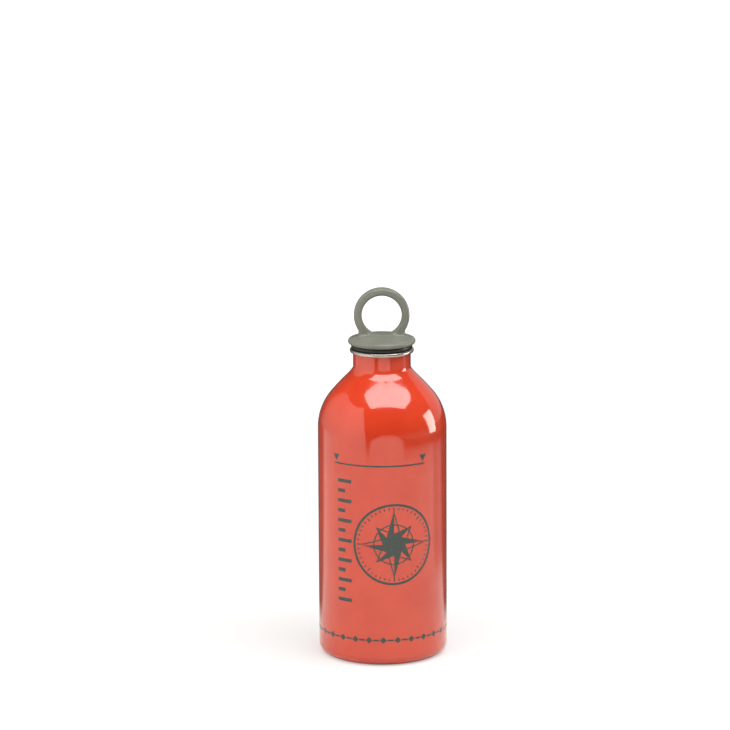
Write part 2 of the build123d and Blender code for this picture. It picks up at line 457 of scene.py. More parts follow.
def turned_metal_material(sizes):
    """Bare aluminium with the fine rings that turning leaves, its colour tinted warm as a painted
    reflection of the red enamel.
    """
    roughness = (0.2, 0.34)
    material, tree, shader, place = new_material("bare_aluminium")
    parts = separate(tree, place.outputs["Object"])
    squares = [calculate(tree, "POWER", parts[axis], 2.0) for axis in "XY"]
    radius = calculate(tree, "SQRT", calculate(tree, "ADD", *squares))
    rings = noise(tree, combine(tree, X=radius, Z=parts["Z"]), 5200.0, 3.0, 0.6)
    blotches = remap(tree, add_grain(tree, place, 300.0)["Tone"], 0.5, 0.75, 0, 0.25)
    # The pale ringed metal colour carries the painted warm reflection of the red enamel.
    rings_and_painted_glow = mix_colours(tree, remap(tree, rings, *WIDE_TONES), TURNED_METAL_DARK, sizes.aluminium)
    fill_inputs(
        tree,
        shader,
        {
            "Base Color": mix_colours(tree, blotches, rings_and_painted_glow, BLOTCHED_METAL),
            "Metallic": 1.0,
            "Roughness": remap(tree, rings, *WIDE_TONES, *roughness),
            "Normal": relief(tree, rings, 0.006 * MM),
        },
    )
    return material


def rubber_material(sizes):
    """Black rubber: matt, faintly mottled, with a little dust."""
    roughness = (0.3, 0.48)
    material, tree, shader, place = new_material("black_rubber")
    grain = add_grain(tree, place, 1400.0)
    base = mix_colours(tree, remap(tree, grain["Tone"], *MIDDLE_TONES), RUBBER_DEEP, sizes.rubber)
    fill_inputs(
        tree,
        shader,
        {
            "Base Color": mix_colours(tree, add_dust(tree, place, 0.5), base, RUBBER_DUST),
            "Roughness": remap(tree, grain["Tone"], *WIDE_TONES, *roughness),
            "Normal": relief(tree, grain["Height"], 0.01 * MM),
        },
    )
    return material


def plastic_material(sizes):
    """Grey-green moulded plastic: satin, with an eroded mould texture and paler rubbed spots."""
    roughness = (0.26, 0.36)
    material, tree, shader, place = new_material("grey_green_plastic")
    texture = add_grain(tree, place, 2600.0, detail=2.0)
    flow = add_grain(tree, place, 110.0, detail=3.0, stretch=(1, 1, 0.4))
    dust = add_dust(tree, place, 0.25)
    base = mix_colours(tree, remap(tree, flow["Tone"], *MIDDLE_TONES), PLASTIC_DEEP, sizes.plastic)
    rubbed = remap(tree, texture["Tone"], 0.56, 0.72, 0, 0.5)
    base = mix_colours(tree, rubbed, base, sizes.plastic_pale)
    rough = remap(tree, flow["Tone"], *WIDE_TONES, *roughness)
    fill_inputs(
        tree,
        shader,
        {
            "Base Color": mix_colours(tree, dust, base, PLASTIC_DUST),
            "Roughness": calculate(tree, "MULTIPLY_ADD", dust, 0.4, rough),
            "Normal": relief(tree, texture["Height"], 0.012 * MM),
        },
    )
    return material


def ink_material(sizes):
    """Charcoal green screen-print ink with a fine mesh texture."""
    roughness = (0.22, 0.36)
    material, tree, shader, place = new_material("print_ink")
    grain = add_grain(tree, place, 1800.0, detail=2.0)
    base = mix_colours(tree, remap(tree, grain["Tone"], *MIDDLE_TONES), INK_DEEP, sizes.ink)
    fill_inputs(
        tree,
        shader,
        {
            "Base Color": base,
            "Roughness": remap(tree, grain["Tone"], *WIDE_TONES, *roughness),
            "Coat Weight": 0.6,
            "Coat Roughness": 0.06,
            "Normal": relief(tree, grain["Height"], 0.003 * MM),
        },
    )
    return material


# Shapes

# Longest turn between two points of an arc, and the sharpest bend that still looks round
ARC_STEP = radians(2.5)
CORNER_ANGLE = radians(35)


def arc(centre, radius, start, end):
    """Points of an arc in the half plane of radius and height, without its first point."""
    steps = max(2, ceil(abs(end - start) / ARC_STEP))
    return [
        (
            centre[0] + radius * cos(start + (end - start) * step / steps),
            centre[1] + radius * sin(start + (end - start) * step / steps),
        )
        for step in range(1, steps + 1)
    ]


def line_points(start, end, steps):
    """Points of a straight line, without its first point."""
    return [
        tuple(a + (b - a) * step / steps for a, b in zip(start, end))
        for step in range(1, steps + 1)
    ]


def dished(depth, reach, lift):
    """Points of the base's shallow hollow, from the axis out to the foot."""
    steps = 24
    sphere = (reach ** 2 + depth ** 2) / (2 * depth)
    end = asin(reach / sphere)
    return [
        (sphere * sin(end * step / steps), lift + depth - sphere * (1 - cos(end * step / steps)))
        for step in range(steps + 1)
    ]


def touching_arc(start, turn, other_centre, other_radius):
    """Centre, radius and last turn of an arc that leaves a point at a turn and touches a circle."""
    normal = Vector((cos(turn), sin(turn)))
    apart = Vector(start) - Vector(other_centre)
    radius = (apart.length_squared - other_radius ** 2) / (2 * (apart @ normal + other_radius))
    centre = Vector(start) - radius * normal
    towards = Vector(other_centre) - centre
    return tuple(centre), radius, atan2(towards.y, towards.x)


def shell_section(sizes, print_sizes):
    """Outside and inside halves of the shell's section, as radius and height."""
    foot_rows, wall_rows, neck_rows = 2, 24, 4
    outer = WALL_RADIUS - print_sizes.ink_thickness
    turn = sizes.shoulder_angle
    wall = sizes.wall
    neck_start = NECK_TOP - sizes.neck_length
    shoulder_centre = (outer - sizes.shoulder_radius, sizes.shoulder_start)
    round_centre = (sizes.neck_radius + sizes.neck_round, neck_start)
    flare_turn = sizes.neck_flare_angle
    flare_apart = sizes.neck_flare - sizes.neck_round
    flare_centre = (
        round_centre[0] + flare_apart * cos(flare_turn),
        round_centre[1] + flare_apart * sin(flare_turn),
    )
    foot_outer = outer - sizes.base_corner_radius
    foot_inner = foot_outer - sizes.foot_width
    corner_centre = (foot_outer, sizes.base_corner_radius)
    bore = sizes.neck_radius - wall

    outside = dished(sizes.base_hollow_depth, foot_inner, 0)
    outside += line_points(outside[-1], (foot_outer, 0), foot_rows)
    outside += arc(corner_centre, sizes.base_corner_radius, -pi / 2, 0)
    outside += line_points(outside[-1], (outer, sizes.shoulder_start), wall_rows)
    outside += arc(shoulder_centre, sizes.shoulder_radius, 0, turn)
    cone_centre, cone_radius, cone_turn = touching_arc(
        outside[-1], turn, flare_centre, sizes.neck_flare
    )
    outside += arc(cone_centre, cone_radius, turn, cone_turn)
    outside += arc(flare_centre, sizes.neck_flare, pi + cone_turn, pi + flare_turn)
    outside += arc(round_centre, sizes.neck_round, pi + flare_turn, pi)
    outside += line_points(outside[-1], (sizes.neck_radius, NECK_TOP), neck_rows)

    inside = [(bore, NECK_TOP), (bore, neck_start)]
    inside += arc(round_centre, sizes.neck_round + wall, pi, pi + flare_turn)
    inside += arc(flare_centre, sizes.neck_flare + wall, pi + flare_turn, pi + cone_turn)
    inside += arc(cone_centre, cone_radius - wall, cone_turn, turn)
    inside += arc(shoulder_centre, sizes.shoulder_radius - wall, turn, 0)
    inner_corner = sizes.base_corner_radius - wall
    inner_corner_centre = (foot_outer, sizes.floor_thickness + inner_corner)
    inside.append((outer - wall, inner_corner_centre[1]))
    inside += arc(inner_corner_centre, inner_corner, 0, -pi / 2)
    inside += reversed(dished(sizes.base_hollow_depth, foot_inner, sizes.floor_thickness))
    return outside, inside


def bead_section():
    """Skin of the neck ring's bead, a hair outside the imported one, as radius and height."""
    half = (RING_HIGH.z - NECK_TOP) / 2
    skin = 0.012 * MM
    clear_of_neck = 0.1 * MM
    centre = (RING_HIGH.x - half, NECK_TOP + half)
    low = (centre[0], NECK_TOP + clear_of_neck)
    return [low, *arc(centre, half + skin, -pi / 2, pi / 2), (centre[0], NECK_TOP + half), low]


def rectangle(width, height, across=0.0, low=0.0):
    """Corners of an upright rectangle."""
    return [
        (across - width / 2, low),
        (across + width / 2, low),
        (across + width / 2, low + height),
        (across - width / 2, low + height),
    ]


def hoop(radius, width, centre, pieces=120):
    """Quads of a thin flat ring."""
    inner = radius - width
    quads = []
    for piece in range(pieces):
        ends = [tau * piece / pieces, tau * (piece + 1) / pieces]
        quads.append(
            [
                (centre[0] + reach * sin(end), centre[1] + reach * cos(end))
                for reach, end in (
                    (inner, ends[0]), (radius, ends[0]), (radius, ends[1]), (inner, ends[1])
                )
            ]
        )
    return quads


def star_point(centre, turn, reach, waist, line):
    """One point of the rose: a filled half, and a half that is only outlined."""

    def place(across, along):
        return (
            centre[0] + across * cos(turn) + along * sin(turn),
            centre[1] - across * sin(turn) + along * cos(turn),
        )

    side = waist / sqrt(2)
    tip = place(0, reach)
    filled = [place(0, 0), tip, place(-side, side)]
    corner = (side, side)
    edge_length = sqrt(corner[0] ** 2 + (reach - corner[1]) ** 2)
    inset = line * edge_length / corner[0]
    lean = line * sqrt(2)
    outline = [
        [place(0, 0), place(*corner), place(corner[0] - line, corner[1]), place(0, lean)],
        [place(*corner), tip, place(0, reach - inset), place(corner[0] - line, corner[1])],
    ]
    return [filled, *outline]


# Geometry node trees

PRINT_SOCKETS = [
    ("Wall Radius", "NodeSocketFloat", 0.03),
    ("Thickness", "NodeSocketFloat", 0.00002),
    ("Subdivisions", "NodeSocketInt", 2),
    ("Ink", "NodeSocketMaterial", None),
]


def change(tree, kind, geometry, inputs=None, **settings):
    """Geometry after one more node, whose first input and output are that geometry."""
    return add_node(tree, kind, {0: geometry, **(inputs or {})}, **settings).outputs[0]


def read_field(tree, name):
    """Field of a geometry, such as its Index or Position."""
    return tree.nodes.new("GeometryNodeInput" + name).outputs[name]


def whole(tree, operation, first, second):
    """Output of an Integer Math node."""
    return add_node(
        tree, "FunctionNodeIntegerMath", {0: first, 1: second}, operation=operation
    ).outputs[0]


def exceeds(tree, value, limit):
    """True where a value is above a limit."""
    return add_node(
        tree,
        "FunctionNodeCompare",
        {0: value, 1: limit},
        data_type="FLOAT",
        operation="GREATER_THAN",
    ).outputs[0]


def sample(tree, data_type, geometry, value, index):
    """Value that a field has at one point of another geometry."""
    return add_node(
        tree,
        "GeometryNodeSampleIndex",
        {"Geometry": geometry, "Value": value, "Index": index},
        data_type=data_type,
        domain="POINT",
    ).outputs["Value"]


def turning_tree():
    """Turns a section round the Z axis, one row of a grid for each point of the section."""
    tree, given, result = new_tree(
        "turned_section",
        "GeometryNodeTree",
        [
            ("Section", "NodeSocketGeometry", None),
            ("Segments", "NodeSocketInt", 256),
            ("Corner Angle", "NodeSocketFloat", CORNER_ANGLE),
            ("Outside", "NodeSocketMaterial", None),
            ("Inside", "NodeSocketMaterial", None),
        ],
        [("Geometry", "NodeSocketGeometry")],
    )
    section = given.outputs["Section"]
    segments = given.outputs["Segments"]
    rows = add_node(
        tree, "GeometryNodeAttributeDomainSize", {"Geometry": section}, component="MESH"
    ).outputs["Point Count"]
    columns = whole(tree, "ADD", segments, 1)
    grid = add_node(
        tree, "GeometryNodeMeshGrid", {"Vertices X": rows, "Vertices Y": columns}
    ).outputs["Mesh"]
    index = read_field(tree, "Index")
    row = whole(tree, "DIVIDE_FLOOR", index, columns)
    column = whole(tree, "FLOORED_MODULO", index, columns)
    mark = add_node(
        tree, "GeometryNodeInputNamedAttribute", {"Name": "inside"}, data_type="FLOAT"
    ).outputs["Attribute"]
    point = sample(tree, "FLOAT_VECTOR", section, read_field(tree, "Position"), row)
    side = sample(tree, "FLOAT", section, mark, row)
    turned = add_node(
        tree,
        "ShaderNodeVectorRotate",
        {"Vector": point, "Angle": multiply(tree, column, calculate(tree, "DIVIDE", tau, segments))},
        rotation_type="Z_AXIS",
    ).outputs["Vector"]
    placed = change(tree, "GeometryNodeSetPosition", grid, {"Position": turned})
    marked = change(
        tree,
        "GeometryNodeStoreNamedAttribute",
        placed,
        {"Name": "inside", "Value": side},
        data_type="FLOAT",
        domain="POINT",
    )
    closed = change(tree, "GeometryNodeMergeByDistance", marked, {"Distance": WELD})
    rounded = change(tree, "GeometryNodeSetShadeSmooth", closed, domain="FACE")
    bend = tree.nodes.new("GeometryNodeInputMeshEdgeAngle").outputs["Unsigned Angle"]
    sharp = exceeds(tree, bend, given.outputs["Corner Angle"])
    creased = change(
        tree, "GeometryNodeSetShadeSmooth", rounded, {1: sharp, 2: False}, domain="EDGE"
    )
    real = change(tree, "GeometryNodeRealizeInstances", creased)
    coated = change(
        tree, "GeometryNodeSetMaterial", real, {"Material": given.outputs["Outside"]}
    )
    finished = change(
        tree,
        "GeometryNodeSetMaterial",
        coated,
        {"Selection": exceeds(tree, mark, 0.99), "Material": given.outputs["Inside"]},
    )
    fill_inputs(tree, result, {"Geometry": finished})
    return tree


def new_print_tree(name, sockets):
    """Tree with its own sockets and those that every print tree has."""
    return new_tree(
        name,
        "GeometryNodeTree",
        [*sockets, *PRINT_SOCKETS],
        [("Geometry", "NodeSocketGeometry")],
    )


def wrapping_group():
    """Gives flat artwork its thickness and bends it round the wall, as one node of other trees."""
    group = bpy.data.node_groups.get("wrap_on_wall")
    if group:
        return group
    group, given, result = new_print_tree(
        "wrap_on_wall", [("Artwork", "NodeSocketGeometry", None)]
    )
    # The ink's outside is at the wall radius, and a third of its body sinks into the enamel.
    body_share = 1.5
    wall = given.outputs["Wall Radius"]
    body = multiply(group, given.outputs["Thickness"], body_share)
    real = change(group, "GeometryNodeRealizeInstances", given.outputs["Artwork"])
    fine = change(
        group, "GeometryNodeSubdivideMesh", real, {"Level": given.outputs["Subdivisions"]}
    )
    raised = change(
        group,
        "GeometryNodeExtrudeMesh",
        fine,
        {"Offset": (0, -1, 0), "Offset Scale": body, "Individual": False},
        mode="FACES",
    )
    position = separate(group, read_field(group, "Position"))
    radius = calculate(
        group, "SUBTRACT", calculate(group, "SUBTRACT", wall, body), position["Y"]
    )
    around = calculate(group, "DIVIDE", position["X"], wall)
    wrapped = combine(
        group,
        X=multiply(group, radius, calculate(group, "SINE", around)),
        Y=multiply(group, radius, -1.0, calculate(group, "COSINE", around)),
        Z=position["Z"],
    )
    bent = change(group, "GeometryNodeSetPosition", raised, {"Position": wrapped})
    inked = change(group, "GeometryNodeSetMaterial", bent, {"Material": given.outputs["Ink"]})
    fill_inputs(group, result, {"Geometry": inked})
    return group


def wrap_result(tree, given, result, artwork):
    """End a print tree with the wrapping group."""
    values = {name: given.outputs[name] for name, _, _ in PRINT_SOCKETS}
    wrapped = add_node(
        tree, "GeometryNodeGroup", {"Artwork": artwork, **values}, node_tree=wrapping_group()
    ).outputs["Geometry"]
    fill_inputs(tree, result, {"Geometry": wrapped})


def artwork_tree():
    """Wraps drawn artwork on the wall."""
    tree, given, result = new_print_tree(
        "printed_artwork", [("Artwork", "NodeSocketGeometry", None)]
    )
    wrap_result(tree, given, result, given.outputs["Artwork"])
    return tree


def dial_tree():
    """Repeats a mark round a dial, every so many of them longer, and wraps them on the wall."""
    tree, given, result = new_print_tree(
        "printed_dial",
        [
            ("Mark", "NodeSocketGeometry", None),
            ("Count", "NodeSocketInt", 72),
            ("Long Every", "NodeSocketInt", 9),
            ("Long Stretch", "NodeSocketFloat", 1.8),
            ("Dial Radius", "NodeSocketFloat", 0.015),
            ("Across", "NodeSocketFloat", 0.0),
            ("Height", "NodeSocketFloat", 0.06),
        ],
    )
    index = read_field(tree, "Index")
    count = given.outputs["Count"]
    radius = given.outputs["Dial Radius"]
    turn = multiply(tree, index, calculate(tree, "DIVIDE", tau, count))
    sine = calculate(tree, "SINE", turn)
    cosine = calculate(tree, "COSINE", turn)
    seat = combine(
        tree,
        X=calculate(tree, "MULTIPLY_ADD", sine, radius, given.outputs["Across"]),
        Z=calculate(tree, "MULTIPLY_ADD", cosine, radius, given.outputs["Height"]),
    )
    points = add_node(
        tree, "GeometryNodeMeshLine", {"Count": count, "Offset": (0, 0, 0)}
    ).outputs["Mesh"]
    seated = change(tree, "GeometryNodeSetPosition", points, {"Position": seat})
    remainder = calculate(tree, "MODULO", index, given.outputs["Long Every"])
    stretch = remap(tree, remainder, 0.0, 1.0, given.outputs["Long Stretch"], 1.0, smooth=False)
    marks = change(
        tree,
        "GeometryNodeInstanceOnPoints",
        seated,
        {
            "Instance": given.outputs["Mark"],
            "Rotation": combine(tree, Y=turn),
            "Scale": combine(tree, X=1.0, Y=1.0, Z=stretch),
        },
    )
    wrap_result(tree, given, result, marks)
    return tree


def row_tree():
    """Repeats a mark along a straight row, every other one shorter, and wraps them on the wall."""
    tree, given, result = new_print_tree(
        "printed_row",
        [
            ("Mark", "NodeSocketGeometry", None),
            ("Count", "NodeSocketInt", 13),
            ("Start", "NodeSocketVector", None),
            ("Step", "NodeSocketVector", None),
            ("Short Share", "NodeSocketFloat", 0.6),
        ],
    )
    points = add_node(
        tree,
        "GeometryNodeMeshLine",
        {
            "Count": given.outputs["Count"],
            "Start Location": given.outputs["Start"],
            "Offset": given.outputs["Step"],
        },
    ).outputs["Mesh"]
    odd = calculate(tree, "MODULO", read_field(tree, "Index"), 2.0)
    shorten = remap(tree, odd, 0.0, 1.0, 1.0, given.outputs["Short Share"], smooth=False)
    marks = change(
        tree,
        "GeometryNodeInstanceOnPoints",
        points,
        {
            "Instance": given.outputs["Mark"],
            "Scale": combine(tree, X=shorten, Y=1.0, Z=1.0),
        },
    )
    wrap_result(tree, given, result, marks)
    return tree


# Meshes and objects

def flat_mesh(name, polygons):
    """Mesh of flat polygons given as lists of (across, height) points, facing the front."""
    made = bmesh.new()
    for polygon in polygons:
        made.faces.new([made.verts.new((across, 0, height)) for across, height in polygon])
    bmesh.ops.remove_doubles(made, verts=made.verts, dist=WELD)
    for face in made.faces:
        if face.normal.y > 0:
            face.normal_flip()
    return to_mesh(made, name)


def section_mesh(name, outside, inside):
    """Chain of the section's points, marked 1 where they are inside."""
    points = [*outside, *inside]
    mesh = bpy.data.meshes.new(name)
    mesh.from_pydata(
        [(across, 0, height) for across, height in points],
        [(place, place + 1) for place in range(len(points) - 1)],
        [],
    )
    mark = mesh.attributes.new("inside", "FLOAT", "POINT")
    mark.data.foreach_set("value", [0.0] * len(outside) + [1.0] * len(inside))
    return mesh


def to_mesh(made, name):
    """Mesh with the faces that were being edited."""
    mesh = bpy.data.meshes.new(name)
    made.to_mesh(mesh)
    made.free()
    return mesh


def add_object(name, data):
    """Object in the scene's own collection."""
    made = bpy.data.objects.new(name, data)
    bpy.context.scene.collection.objects.link(made)
    return made


def evaluated_mesh(piece):
    """Plain mesh of an object with its modifiers applied."""
    ready = piece.evaluated_get(bpy.context.evaluated_depsgraph_get())
    return bpy.data.meshes.new_from_object(ready)


def run_tree(name, mesh, tree, values):
    """Plain mesh object made by a geometry tree from a start mesh."""
    piece = add_object(name, mesh)
    modifier = piece.modifiers.new("shape", "NODES")
    modifier.node_group = tree
    for item in tree.interface.items_tree:
        if item.item_type == "SOCKET" and item.in_out == "INPUT" and item.name in values:
            modifier[item.identifier] = values[item.name]
    finished = evaluated_mesh(piece)
    piece.modifiers.clear()
    piece.data = finished
    finished.name = name
    return piece


def face_outward(piece):
    """Point the faces of a closed piece outward."""
    made = bmesh.new()
    made.from_mesh(piece.data)
    bmesh.ops.recalc_face_normals(made, faces=made.faces)
    if made.calc_volume(signed=True) < 0:
        bmesh.ops.reverse_faces(made, faces=made.faces)
    open_edges = [edge for edge in made.edges if not edge.is_manifold]
    made.to_mesh(piece.data)
    made.free()
    if open_edges:
        raise RuntimeError(f"{piece.name} isn't closed")


def turned_piece(name, segments, outside, coat, inside=(), lining=None):
    """Closed piece turned from its section, with one finish outside and one inside."""
    piece = run_tree(
        name,
        section_mesh(name, outside, inside),
        turning_tree(),
        {
            "Segments": segments,
            "Corner Angle": CORNER_ANGLE,
            "Outside": coat,
            "Inside": lining or coat,
        },
    )
    face_outward(piece)
    return piece


def packed_copy(node):
    """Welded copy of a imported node's mesh, to be edited."""
    made = bmesh.new()
    made.from_mesh(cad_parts[node].data)
    bmesh.ops.remove_doubles(made, verts=made.verts, dist=PACKED_WELD)
    return made


def cut_off(made, height, keep_above):
    """Keep what lies above or below a height, and close the cut."""
    bmesh.ops.bisect_plane(
        made,
        geom=[*made.verts, *made.edges, *made.faces],
        plane_co=(0, 0, height),
        plane_no=(0, 0, 1),
        clear_inner=keep_above,
        clear_outer=not keep_above,
    )
    rim = [edge for edge in made.edges if edge.is_boundary]
    bmesh.ops.triangle_fill(made, edges=rim, use_beauty=True)
    bmesh.ops.recalc_face_normals(made, faces=made.faces)


def dress(piece, body):
    """Ride on a body."""
    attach(piece, body)


def set_material(node, material):
    """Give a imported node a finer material."""
    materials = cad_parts[node].data.materials
    materials.clear()
    materials.append(material)


# The stopper's head

def polygon_distance(across, height, polygon):
    """Signed distance from points to a closed outline, below zero inside it."""
    nearest = np.full(across.shape, np.inf)
    inside = np.zeros(across.shape, bool)
    for (x0, z0), (x1, z1) in zip(polygon, [*polygon[1:], polygon[0]]):
        run, rise = x1 - x0, z1 - z0
        share = ((across - x0) * run + (height - z0) * rise) / (run ** 2 + rise ** 2)
        share = np.clip(share, 0, 1)
        gap = (across - x0 - share * run) ** 2 + (height - z0 - share * rise) ** 2
        nearest = np.minimum(nearest, gap)
        if rise:
            inside ^= ((z0 > height) != (z1 > height)) & (across < x0 + (height - z0) * run / rise)
    return np.where(inside, -1, 1) * np.sqrt(nearest)


class StopperHead:
    """Flange and loop as one moulding, with a hollow round where they meet."""

    def __init__(self, sizes):
        self.sizes = sizes
        # Heights: the flange's underside, the foot of what is moulded, the joint to the packed
        # shank, the widest part of the flange and the loop's centre
        self.bottom = SEAL_HIGH.z + sizes.seat_gap
        self.low = self.bottom - sizes.hollow_round
        self.cut_height = (SEAL_LOW.z + SEAL_HIGH.z) / 2
        self.equator = self.bottom + sizes.flange_lower_round
        self.loop_centre = STOPPER_HIGH.z - sizes.loop_diameter / 2
        slope = sizes.dome_edge_slope
        self.upper_centre = (STOPPER_HIGH.x - sizes.flange_upper_round, self.equator)
        self.dome_edge = (
            self.upper_centre[0] + sizes.flange_upper_round * sin(slope),
            self.upper_centre[1] + sizes.flange_upper_round * cos(slope),
        )
        half = self.flange_section()
        mirrored = [(-across, height) for across, height in reversed(half)]
        self.flange_outline = [*half, *mirrored]
        self.loop_outline = self.loop_section()

    def flange_section(self):
        """Right half of the flange's section, from the crown out and down to the hollow."""
        sizes = self.sizes
        slope = sizes.dome_edge_slope
        dome_radius = self.dome_edge[0] / sin(slope)
        dome_centre = (0, self.dome_edge[1] - dome_radius * cos(slope))
        lower_centre = (STOPPER_HIGH.x - sizes.flange_lower_round, self.equator)
        points = arc(dome_centre, dome_radius, pi / 2, pi / 2 - slope)
        points += arc(self.upper_centre, sizes.flange_upper_round, pi / 2 - slope, 0)
        points += arc(lower_centre, sizes.flange_lower_round, 0, -pi / 2)
        points += [(sizes.collar_radius, self.bottom), (sizes.collar_radius, self.low)]
        hollow_top = self.bottom + sizes.hollow_rise
        hollow_centre = (
            sizes.hollow_radius - sizes.hollow_round, hollow_top - sizes.hollow_round
        )
        points += [(sizes.hollow_radius, self.low)]
        points += arc(hollow_centre, sizes.hollow_round, 0, pi / 2)
        return points

    def loop_section(self):
        """Outline of the loop and its spread feet, seen from the front."""
        sizes = self.sizes
        radius = sizes.loop_diameter / 2
        foot = sizes.loop_foot_round
        foot_z = self.dome_edge[1] + foot
        foot_x = sqrt((radius + foot) ** 2 - (self.loop_centre - foot_z) ** 2)
        lean = atan2(self.loop_centre - foot_z, foot_x)
        right = [(foot_x, self.equator), (foot_x, foot_z - foot)]
        right += arc((foot_x, foot_z), foot, 3 * pi / 2, pi - lean)
        over = arc((0, self.loop_centre), radius, -lean, pi + lean)[:-1]
        left = [(-across, height) for across, height in reversed(right)]
        return [*right, *over, *left]

    def distance(self, points):
        """Signed distance from points to the moulding."""
        sizes = self.sizes
        x, y, z = points.T
        flange = polygon_distance(np.hypot(x, y), z, self.flange_outline)
        outline = np.maximum(
            polygon_distance(x, z, self.loop_outline),
            sizes.loop_hole_diameter / 2 - np.hypot(x, z - self.loop_centre),
        )
        flat = outline + sizes.loop_edge_round
        deep = np.abs(y) - sizes.loop_depth / 2 + sizes.loop_edge_round
        loop = np.hypot(np.maximum(flat, 0), np.maximum(deep, 0))
        loop += np.minimum(np.maximum(flat, deep), 0) - sizes.loop_edge_round
        # The hollow round grows between half way out to the loop's face and the face itself
        ahead = np.clip(np.abs(y) * 4 / sizes.loop_depth - 1, 0, 1)
        ahead = ahead ** 2 * (3 - 2 * ahead)
        root = sizes.loop_root_round + (sizes.loop_front_round - sizes.loop_root_round) * ahead
        hollow = np.hypot(np.maximum(root - flange, 0), np.maximum(root - loop, 0))
        return np.maximum(root, np.minimum(flange, loop)) - hollow

    def settle(self, points):
        """Points drawn onto the surface, along the slope of their distance from it."""
        probes_per_face = 20
        least_steepness = 0.25
        rounds = 3
        step = self.sizes.grid / probes_per_face
        for _ in range(rounds):
            here = self.distance(points)
            slope = np.stack(
                [(self.distance(points + step * axis) - here) / step for axis in np.eye(3)], axis=1
            )
            steepness = np.maximum((slope ** 2).sum(axis=1), least_steepness)
            points = points - (here / steepness)[:, None] * slope
        return points

    def mould(self, rough):
        """Even faces over the rough head, settled on the moulding's surface."""
        source = add_object("stopper_head", to_mesh(rough, "stopper_head"))
        remesh = source.modifiers.new("even faces", "REMESH")
        remesh.mode = "VOXEL"
        remesh.voxel_size = self.sizes.grid
        even = evaluated_mesh(source)
        bpy.data.objects.remove(source)
        points = np.empty(len(even.vertices) * 3)
        even.vertices.foreach_get("co", points)
        points = self.settle(points.reshape(-1, 3))
        even.vertices.foreach_set("co", points.ravel())
        made = bmesh.new()
        made.from_mesh(even)
        bpy.data.meshes.remove(even)
        return made


# Pieces

class FUELBOTTLE_OT_shell(Operator):
    """Turn the enamelled shell from its section"""

    bl_idname = "fuel_bottle.make_shell"
    bl_label = "Make the shell"

    def execute(self, context):
        sizes = context.scene.fuel_bottle_shell
        outside, inside = shell_section(sizes, context.scene.fuel_bottle_print)
        shell = turned_piece(
            "enamelled_shell",
            sizes.segments,
            outside,
            coat=enamel_material(sizes),
            inside=inside,
            lining=inside_metal_material(sizes),
        )
        dress(shell, "bottle")
        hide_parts("bottle_shell")
        return {"FINISHED"}


class FUELBOTTLE_OT_neck_ring(Operator):
    """Finish the turned neck ring and the seal on it"""

    bl_idname = "fuel_bottle.finish_neck_ring"
    bl_label = "Finish the neck ring and seal"

    def execute(self, context):
        sizes = context.scene.fuel_bottle_stopper
        segments = context.scene.fuel_bottle_shell.segments
        turned_metal = turned_metal_material(sizes)
        bead = turned_piece("polished_bead", segments, bead_section(), turned_metal)
        dress(bead, "bottle")
        set_material("neck_thread_ring", turned_metal)
        set_material("cap_seal_ring", rubber_material(sizes))
        return {"FINISHED"}


class FUELBOTTLE_OT_stopper(Operator):
    """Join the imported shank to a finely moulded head"""

    bl_idname = "fuel_bottle.make_stopper"
    bl_label = "Make the stopper"

    def execute(self, context):
        sizes = context.scene.fuel_bottle_stopper
        head = StopperHead(sizes)
        rough = packed_copy("screw_stopper")
        cut_off(rough, head.low, keep_above=True)
        moulded = head.mould(rough)
        cut_off(moulded, head.cut_height, keep_above=True)
        moulded_mesh = to_mesh(moulded, "stopper_head")
        shank = packed_copy("screw_stopper")
        cut_off(shank, head.cut_height, keep_above=False)
        shank.from_mesh(moulded_mesh)
        bpy.data.meshes.remove(moulded_mesh)
        for face in shank.faces:
            face.smooth = True
        mesh = to_mesh(shank, "moulded_stopper")
        mesh.set_sharp_from_angle(angle=CORNER_ANGLE)
        mesh.materials.append(plastic_material(sizes))
        stopper = add_object("moulded_stopper", mesh)
        dress(stopper, "stopper")
        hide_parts("screw_stopper")
        return {"FINISHED"}


# Print

def print_on_wall(sizes, ink, name, shapes, tree, subdivisions, values=None):
    """Printed piece that a tree makes from flat shapes."""
    common = {
        "Wall Radius": WALL_RADIUS,
        "Thickness": sizes.ink_thickness,
        "Subdivisions": subdivisions,
        "Ink": ink,
    }
    piece = run_tree(name, flat_mesh(name, shapes), tree, {**common, **(values or {})})
    dress(piece, "bottle")


def print_rose(sizes, ink):
    """Compass rose: two hoops and an eight-pointed star."""
    short_waist, short_share = 5.6 * MM, 0.62
    long_waist, long_share = 5.2 * MM, 0.84
    inner_hoop_share = 0.5
    centre = (sizes.rose_offset, sizes.rose_height)
    radius = sizes.rose_radius
    line = sizes.line_width
    shapes = hoop(radius, 2 * line, centre) + hoop(radius * inner_hoop_share, line, centre)
    for point in range(4):
        turn = tau * (point + 0.5) / 4
        shapes += star_point(centre, turn, radius * short_share, short_waist, line)
    for point in range(4):
        turn = tau * point / 4
        shapes += star_point(centre, turn, radius * long_share, long_waist, line)
    print_on_wall(sizes, ink, "print_rose", shapes, artwork_tree(), 3)


def print_rose_dial(sizes, ink):
    """Ring of marks inside the rose's outer hoop."""
    mark_width = 0.6 * MM
    mark_length = 1.1 * MM
    below_hoop = 1.9 * MM
    values = {
        "Count": 48,
        "Long Every": 6,
        "Long Stretch": 1.8,
        "Dial Radius": sizes.rose_radius - below_hoop,
        "Across": sizes.rose_offset,
        "Height": sizes.rose_height,
    }
    mark = rectangle(mark_width, mark_length, low=-mark_length)
    print_on_wall(sizes, ink, "print_rose_dial", [mark], dial_tree(), 0, values)


